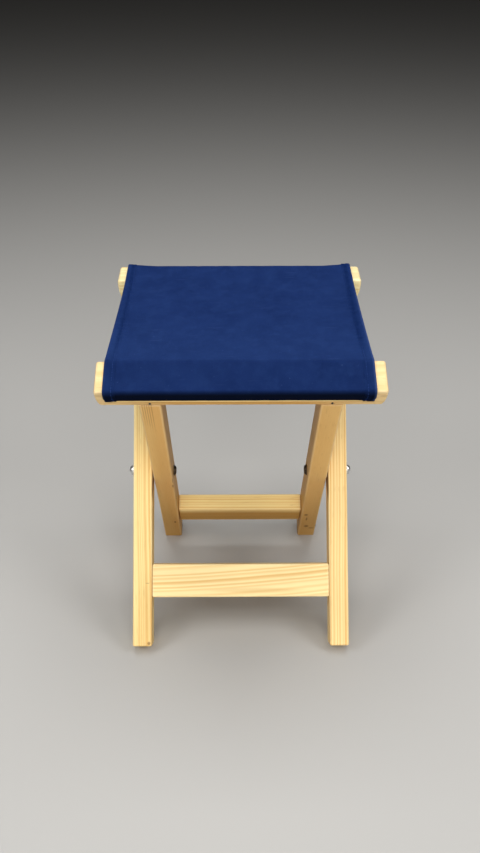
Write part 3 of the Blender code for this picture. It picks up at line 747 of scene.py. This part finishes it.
def sheetHeights(line, across):
    # heights of the top and underside over the middle line: cloth, plus the hem's folded layers and, on the
    # rear rail, the gather beside them, less the stitch furrow, plus puckers beside it, small crumples and,
    # in the free span, broad swells; both meet in a round at the edge. Waves are sines, in radians per m.
    s, held, hemDepth = line["s"][:, None], line["held"][:, None], line["hem"][:, None]
    side = np.sign(across)
    edgeDistance = line["width"][:, None] - np.abs(across)
    fromSeam = edgeDistance - line["inset"][:, None]
    drop = smooth(fromSeam, *[canvas["hemSpare"] + reach for reach in canvas["hemDrop"]])
    slope = smooth(edgeDistance, *canvas["hemSlope"])
    fold = canvas["hemShare"] * (1 - drop) + (1 - canvas["hemShare"]) * (1 - slope)
    extra = canvas["hemExtra"] * fold * hemDepth * (1 + canvas["hemWave"] * np.sin(s * 170 + side * 1.3))
    top = canvas["thickness"] / 2 + extra * (canvas["topShare"] + (1 - canvas["topShare"]) * held)
    under = canvas["thickness"] / 2 + extra * (1 - canvas["topShare"]) * (1 - held)
    ear = smooth(s, *[line["edges"][1] + reach for reach in canvas["earStart"]])
    ear = ear * (1 - smooth(s, *[s[-1] - reach for reach in canvas["earEnd"]]))
    fromEar = smooth(edgeDistance, 0.3 * canvas["earReach"], canvas["earReach"])
    top = top + canvas["ear"] * ear * (1 - fromEar)
    beside = np.exp(-(fromSeam / canvas["furrowWidth"]) ** 2) * hemDepth
    furrow = canvas["stitchSink"] * beside * (0.75 - 0.25 * np.cos(2 * np.pi * s / canvas["stitchPitch"]))
    wide = np.exp(-((fromSeam - canvas["puckerPlace"]) / canvas["puckerWidth"]) ** 2) * hemDepth
    slow = 0.6 + 0.4 * np.sin(s * 61 + side * 0.9)
    pucker = np.sin(2 * np.pi * s / canvas["puckerPitch"] + side + 1.7 * np.sin(s * 47))
    pucker = canvas["pucker"] * wide * slow * pucker
    swell = np.sin(across * 27 + s * 9 + 0.5) + 0.7 * np.sin(across * 49 - s * 21 + 2.1)
    swell = swell + 0.5 * np.sin(s * 43 + across * 13)
    swell = canvas["swell"] * swell / 2.2 * (1 - held) * smooth(edgeDistance, *canvas["swellEdge"])
    crumple = np.sin(across * 330 + s * 150 + 2.2 * np.sin(s * 31))
    crumple = crumple * np.sin(s * 260 - across * 90 + 1.9 * np.sin(across * 43))
    crumple = crumple + 0.7 * np.sin(across * 210 - s * 290 + 2.6 * np.sin(across * 37 + s * 23))
    crumple = canvas["crumple"] * crumple * (1 - 0.5 * held) * smooth(edgeDistance, *canvas["crumpleEdge"])
    rounded = (top + under) / 2
    curve = np.sqrt(1 - (1 - np.clip(edgeDistance / rounded, 0, 1)) ** 2)
    middle = (top - under) / 2
    up = middle + rounded * curve + (pucker + swell + crumple - furrow) * curve
    down = middle - rounded * curve + ((swell + crumple) * curve + furrow * 0.6) * (1 - held)
    return up, down


def crossPlaces(line):  # places across the cloth, close together over the hems
    rim = [0, 0.06, 0.22, 0.5, 0.9, 1.4, 2.1, 3.1, 4.0]
    hemSteps = np.concatenate([rim, np.arange(4.6, 14.5, 0.52)]) / 1000
    inner = np.linspace(0, 1, canvas["across"])[1:-1]
    width = line["width"][:, None]
    low, high = -width + hemSteps[-1], width - hemSteps[-1]
    return np.concatenate([-width + hemSteps, low + (high - low) * inner, width - hemSteps[::-1]], 1)


def makeSheet(line):
    across = crossPlaces(line)
    up, down = sheetHeights(line, across)
    rings, count = across.shape
    loop = 2 * count - 2
    height = np.concatenate([up, down[:, -2:0:-1]], 1)
    x = np.concatenate([across, across[:, -2:0:-1]], 1)
    points = np.empty((rings, loop, 3))
    points[:, :, 0] = x + line["shift"][:, None]
    points[:, :, 1] = line["place"][:, :1] + line["normal"][:, :1] * height
    points[:, :, 2] = line["place"][:, 1:] + line["normal"][:, 1:] * height
    k = np.arange(1, count - 2)
    cap = np.stack([k, k + 1, loop - k - 1, loop - k], -1)
    corner = np.array([[0, 1, loop - 1], [count - 2, count - 1, count]])
    last = (rings - 1) * loop
    faceSets = [gridQuads(rings, loop, True), cap[:, ::-1], corner[:, ::-1], cap + last, corner + last]
    mesh = meshFromFaces("canvasSling", points, *faceSets)
    corners = np.empty(len(mesh.loops), np.int32)
    mesh.loops.foreach_get("vertex_index", corners)
    fromSeam = line["width"][:, None] - np.abs(x) - line["inset"][:, None]
    for name, first in (("cloth", x), ("hem", fromSeam)):
        uv = np.stack([first, np.broadcast_to(line["s"][:, None], x.shape)], -1).reshape(-1, 2)
        layer = mesh.uv_layers.new(name=name)
        layer.uv.foreach_set("vector", uv[corners].astype(np.float32).ravel())
    return mesh


clothLook = {
    "colour": linear(25, 46, 96),
    "deep": linear(21, 41, 89),
    "paleTone": linear(33, 56, 107),
    "lintAndHighlight": linear(66, 88, 138),
    "seamShadow": linear(9, 29, 72),
    "shadow": (0.0012, 0.0028, 0.010, 1),
    "threadLit": linear(40, 62, 116),
    "threadDeep": linear(16, 37, 84),
    "blotch": (0.36, 0.66),
    "fine": (0.5, 0.8, 0.0, 0.3),
    "patch": (0.42, 0.70, 0.0, 0.36),
    "paleBehindRail": 0.3,
    "paleBehindRailEnd": 0.2,
    "crease": (0.66, 0.76, 0.0, 0.15),
    "speck": (0.80, 0.86, 0.0, 0.5),
    "gap": (0.15, 0.7, 0.42, 0.0),
    "lapShade": 0.98,
    "rearLapShade": 0.6,
    "railShade": 0.22,
    "rim": (-0.0088, -0.0058, 1.0, 0.0),
    "rimHighlightSides": (0.08, 0.38),
    "seamCore": 0.0006,
    "seamOffset": 0.0005,
    "seamShade": 0.62,
    "seamReach": (0.0042, 0.0058),
    "seamSides": (1.0, 1.35),
    "shader": {"Roughness": 0.92, "Sheen Weight": 0.035, "Sheen Roughness": 0.4, "Specular IOR Level": 0.02,
               "Sheen Tint": linear(120, 150, 220)},
    "threadShader": {"Roughness": 0.9, "Specular IOR Level": 0.05},
}


def makeCanvasMaterial(length):
    # woven blue, paler in a band just behind the front rail, with lint; painted shade between the threads,
    # on the laps, over the front rail and, in broken dashes, along the seams; painted highlight on the hems'
    # rims
    look = clothLook
    material, tree, shader = newMaterial("navyCanvas", look["shader"])
    cloth = addNode(tree, "ShaderNodeUVMap", uv_map="cloth").outputs[0]
    hem = addNode(tree, "ShaderNodeUVMap", uv_map="hem").outputs[0]
    aside, along = split(tree, cloth)[:2]
    fromSeam = split(tree, hem)["X"]
    lapEnd = canvas["lap"] + canvas["tuck"]
    railEnd = lapEnd + stool["railWidth"]

    def bySide(leftAndRight):
        return ease(tree, aside, -0.01, 0.01, *leftAndRight)

    blotch = ease(tree, noise(tree, cloth, 16.0, 3.0, 0.6), *look["blotch"])
    colour = mixColour(tree, blotch, look["deep"], look["colour"])
    fine = ease(tree, noise(tree, cloth, 140.0, 2.0, 0.6), *look["fine"])
    patch = ease(tree, noise(tree, stretch(tree, cloth, 1.0, 0.8, 1.0), 60.0, 3.0, 0.6), *look["patch"])
    # paler just behind the front rail, fading out towards the rear
    paleBehindRail = ease(tree, along, railEnd + 0.02, look["paleBehindRailEnd"], look["paleBehindRail"], 0.0)
    paleBehindRail = times(tree, ease(tree, along, railEnd - 0.002, railEnd + 0.006), paleBehindRail)
    colour = mixColour(tree, plus(tree, plus(tree, fine, patch), paleBehindRail), colour, look["paleTone"])
    crease = ease(tree, noise(tree, stretch(tree, cloth, 24, 210, 0), 1.0, 1.5), *look["crease"])
    speck = ease(tree, noise(tree, cloth, 460.0, 0.0), *look["speck"])
    colour = mixColour(tree, maths(tree, "MAXIMUM", crease, speck), colour, look["lintAndHighlight"])
    weave = useGroup(tree, effects["weave"], {"Vector": cloth})["Height"]
    colour = mixColour(tree, ease(tree, weave, *look["gap"]), colour, look["shadow"])
    # painted shade: the laps round both rails and the cloth on the front rail are darkened towards the
    # shadow colour, the front lap almost to black
    lap = ease(tree, along, lapEnd - 0.0040, lapEnd + 0.0075, look["lapShade"], 0.0)
    rearEnd = length - lapEnd
    rearLap = ease(tree, along, rearEnd - 0.0045, rearEnd + 0.0030, 0.0, look["rearLapShade"])
    onRail = ease(tree, along, railEnd - 0.004, railEnd + 0.006, look["railShade"], 0.0)
    dark = maths(tree, "MAXIMUM", maths(tree, "MAXIMUM", lap, rearLap), onRail)
    colour = mixColour(tree, dark, colour, look["shadow"])
    # painted highlight: the hems' folded rims are lightened towards the lint colour, more on the right than
    # on the left
    rim = times(tree, ease(tree, fromSeam, *look["rim"]), bySide(look["rimHighlightSides"]))
    colour = mixColour(tree, rim, colour, look["lintAndHighlight"])
    # painted shade: a dark band along the stitch furrow, broken into dashes, fainter over the front rail,
    # wider and darker on the right
    fromSeam = maths(tree, "ABSOLUTE", plus(tree, fromSeam, look["seamOffset"]))
    seamShadow = ease(tree, fromSeam, look["seamCore"], bySide(look["seamReach"]), look["seamShade"], 0.0)
    broken = ease(tree, noise(tree, stretch(tree, hem, 160, 130, 0), 1.0, 2.5), 0.34, 0.62, 0.45, 1.0)
    broken = times(tree, broken, ease(tree, along, railEnd, railEnd + 0.07, 0.3, 1.0))
    seamShadow = times(tree, times(tree, seamShadow, broken), bySide(look["seamSides"]))
    colour = mixColour(tree, seamShadow, colour, look["seamShadow"])
    feed(tree, shader.inputs["Base Color"], colour)
    addBump(tree, shader, weave, weaving["bump"], weaving["bumpDepth"])
    return material


def makeThread():
    # dark thread, lighter in patches over the front rail as painted highlight where the stitches catch the
    # light
    material, tree, shader = newMaterial("hemThread", clothLook["threadShader"])
    coords = objectCoords(tree)
    patchy = ease(tree, noise(tree, coords, 220.0), 0.35, 0.6)
    paleTone = times(tree, ease(tree, split(tree, coords)["Y"], -0.11, -0.06, 1.0, 0.0), patchy)
    colour = mixColour(tree, paleTone, clothLook["threadDeep"], clothLook["threadLit"])
    feed(tree, shader.inputs["Base Color"], colour)
    addBump(tree, shader, noise(tree, coords, 2400.0, 1.0), 0.2, 0.0001)
    return material


# Hem stitches: each is a short thread that rises out of the cloth and dips back in

stitch = {
    "sides": 6,
    "steps": 7,
    "endGap": 0.003,
    "halfLength": 0.40,
    "rise": 0.00016,
    "dip": 0.0004,
    "radius": 0.00027,
    "tip": 0.00002,
}


def makeStitches(line):
    pitch, sides, steps = canvas["stitchPitch"], stitch["sides"], stitch["steps"]
    middles = np.arange(line["lips"][0] + stitch["endGap"], line["lips"][1] - stitch["endGap"], pitch)
    t = np.linspace(-1, 1, steps)
    turn = np.linspace(0, 2 * np.pi, sides, endpoint=False)
    bulge = stitch["rise"] * (1 - t ** 2) - stitch["dip"] * t ** 6
    radius = (stitch["radius"] * np.sqrt(np.clip(1.02 - t ** 2, 0, 1)) + stitch["tip"])[None, :, None]
    row = line["width"] - line["inset"]
    sets = []
    for side in (-1, 1):
        for face in (0, 1):
            s = (middles + face * pitch / 2)[:, None] + t[None, :] * pitch * stitch["halfLength"]
            surface = sheetHeights(line, side * row[:, None])[face][:, 0]
            columns = (side * row + line["shift"], surface, *line["place"].T, *line["normal"].T)
            x, height, y, z, ny, nz = [np.interp(s, line["s"], column)[..., None] for column in columns]
            out = height + (1 - 2 * face) * bulge[None, :, None] + radius * np.sin(turn)
            sets.append(np.stack([x + radius * np.cos(turn), y + ny * out, z + nz * out], -1))
    points = np.concatenate(sets)
    block = steps * sides
    starts = (np.arange(len(points)) * block)[:, None, None]
    quads = (starts + gridQuads(steps, sides, True)[None]).reshape(-1, 4)
    ring = np.arange(sides)
    ends = np.concatenate([starts[:, 0] + ring[None, ::-1], starts[:, 0] + block - sides + ring[None]])
    return meshFromFaces("hemStitches", points, quads, ends)


# Pivot rivets and washers, turned about the pivot line

metal = {
    "domeRadius": 0.0063,
    "domeHeight": 0.0063,
    "domeSweep": (88, 8),
    "domeShape": (0.92, 0.9),
    "rim": 0.0004,
    "headRadius": 0.0060,
    "headHeight": 0.0022,
    "headSweep": (0, 86),
    "headShape": (1.1, 0.5),
    "shank": 0.00325,
    "washerRadius": 0.0071,
    "washerThickness": 0.0010,
    "washerBevel": 0.00018,
    "gap": 0.0003,
    "around": 64,
    "scuffRate": 900.0,
}


def turnedMesh(name, profile, side, hollow):
    # a profile of (distance along X, radius), carried once round the pivot line; a hollow one joins its own
    # ends, any other is capped
    around = metal["around"]
    a = np.linspace(0, 2 * np.pi, around, endpoint=False)
    points = np.empty((len(profile), around, 3))
    points[:, :, 0] = side * profile[:, :1]
    points[:, :, 1] = stool["pivot"][1] + profile[:, 1:] * np.cos(a)
    points[:, :, 2] = stool["pivot"][2] + profile[:, 1:] * np.sin(a)
    if hollow:
        quads = gridQuads(len(profile) + 1, around, True) % (len(profile) * around)
        return meshFromFaces(name, points, quads)
    ring = np.arange(around)
    ends = np.stack([ring[::-1], (len(profile) - 1) * around + ring])
    return meshFromFaces(name, points, gridQuads(len(profile), around, True), ends)


def washerInside():  # where the washer's open face lies along X
    return stool["innerFace"] - stool["legThickness"] - metal["gap"] - metal["washerThickness"]


def rivetProfile():
    # outer dome, its rounded rim, the shank, and the hammered head over the washer inside
    rim = metal["rim"]
    face = stool["outerFace"] + metal["gap"]
    inside = washerInside() - metal["gap"]
    a = np.radians(np.linspace(*metal["domeSweep"], 26))
    rise, fall = metal["domeShape"]
    dome = np.stack([face + rim + (metal["domeHeight"] - rim) * np.sin(a) ** rise,
                     metal["domeRadius"] * np.cos(a) ** fall], 1)
    a = np.radians(np.linspace(0, -90, 6))
    lip = np.stack([face + rim + rim * np.sin(a), metal["domeRadius"] - rim + rim * np.cos(a)], 1)
    shank = np.array([[face, metal["shank"]], [inside, metal["shank"]]])
    a = np.radians(np.linspace(*metal["headSweep"], 20))
    rise, fall = metal["headShape"]
    head = np.stack([inside - metal["headHeight"] * np.sin(a) ** rise,
                     metal["headRadius"] * np.cos(a) ** fall], 1)
    return np.concatenate([dome, lip, shank, head])


def washerProfile():
    # a flat ring with bevelled outer edges
    radius, bevel = metal["washerRadius"], metal["washerBevel"]
    bore = metal["shank"] + metal["gap"]
    near = washerInside()
    far = near + metal["washerThickness"]
    return np.array([(near, bore), (near, radius - bevel), (near + bevel * 0.3, radius - bevel * 0.3),
                     (near + bevel, radius), (far - bevel, radius),
                     (far - bevel * 0.3, radius - bevel * 0.3), (far, radius - bevel), (far, bore)])


def makeMetal(name, base, dark, rough):
    # fine scuffs: noise drawn out along the turning axis, duller where it gathers, under a darker cloud
    material, tree, shader = newMaterial(name, {"Metallic": 1.0})
    coords = objectCoords(tree)
    rate = metal["scuffRate"]
    scuff = noise(tree, stretch(tree, coords, rate * 0.25, rate, rate), 1.0, 4.0, 0.65)
    cloud = ease(tree, noise(tree, coords, rate * 0.4), 0.35, 0.7)
    feed(tree, shader.inputs["Base Color"], mixColour(tree, cloud, base, dark))
    feed(tree, shader.inputs["Roughness"], ease(tree, scuff, 0.3, 0.75, *rough))
    addBump(tree, shader, scuff, 0.08, 0.0001)
    return material


def makePlain(name, base, dark, rough, scale):
    # a plain matt finish with soft blotches
    material, tree, shader = newMaterial(name, {})
    blotch = noise(tree, objectCoords(tree), scale, 3.0, 0.6)
    feed(tree, shader.inputs["Base Color"], mixColour(tree, ease(tree, blotch, 0.3, 0.7), base, dark))
    feed(tree, shader.inputs["Roughness"], ease(tree, blotch, 0.3, 0.7, *rough))
    addBump(tree, shader, blotch, 0.1, 0.0002)
    return material


def dressFixings():
    zinc = makeMetal("zincPlate", linear(196, 198, 200), linear(150, 152, 156), (0.28, 0.5))
    dull = makeMetal("dulledNail", linear(92, 84, 74), linear(50, 44, 38), (0.4, 0.65))
    nylon = makePlain("nylon", linear(226, 222, 208), linear(206, 200, 182), (0.42, 0.55), 260.0)
    beech = makePlain("beech", linear(206, 164, 120), linear(178, 134, 92), (0.55, 0.7), 340.0)
    for start, material in (("rail_screw", zinc), ("toe_nail", dull), ("pivot_spacer", nylon),
                            ("front_dowel", beech), ("rear_dowel", beech)):
        for name in frame["nodes"]:
            if name.startswith(start):
                paintNode(name, material)
    print("fixings dressed")


def addPivots():
    bright = makeMetal("polishedSteel", linear(232, 231, 230), linear(206, 205, 205), (0.30, 0.46))
    # painted shade and reflection: the inner heads and the washers get a darker, browner copy of the steel,
    # for the shade between the legs and the wood they reflect
    dark = makeMetal("shadeAndReflectionSteel", linear(112, 96, 78), linear(72, 60, 46), (0.36, 0.58))
    for sideName, side in (("left", -1), ("right", 1)):
        name = "rivet_" + sideName
        rivet = addPiece(name, turnedMesh(name, rivetProfile(), side, False), bright, dark)
        middles = np.empty(len(rivet.data.polygons) * 3)
        rivet.data.polygons.foreach_get("center", middles)
        isInner = np.abs(middles.reshape(-1, 3)[:, 0]) < stool["innerFace"] - stool["legThickness"]
        rivet.data.polygons.foreach_set("material_index", isInner.astype(np.int32))
        rivet.data.update()
        name = "washer_" + sideName
        washer = addPiece(name, turnedMesh(name, washerProfile(), side, True), dark)
        for piece, node, slotName in ((rivet, "pivot_rivet_", "rivet_steel"),
                                      (washer, "pivot_washer_", "washer_steel")):
            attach(piece, "outer_frame")
            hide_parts(node + sideName)
    print("pivots turned")


makeCamera()
makeLights()
addFloor()
dressBoards()
dressFixings()
addPivots()

sling = slingLine()
slingLength = float(sling["s"][-1])
sheet = addPiece("canvasSling", makeSheet(sling), makeCanvasMaterial(slingLength))
stitches = addPiece("hemStitches", makeStitches(sling), makeThread())
for piece in (sheet, stitches):
    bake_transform(piece)
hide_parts("canvas_seat")
print("canvas sheet:", len(sheet.data.polygons), "faces, stitches:", len(stitches.data.polygons), "faces")
bpy.context.scene.view_settings.view_transform = "Standard"
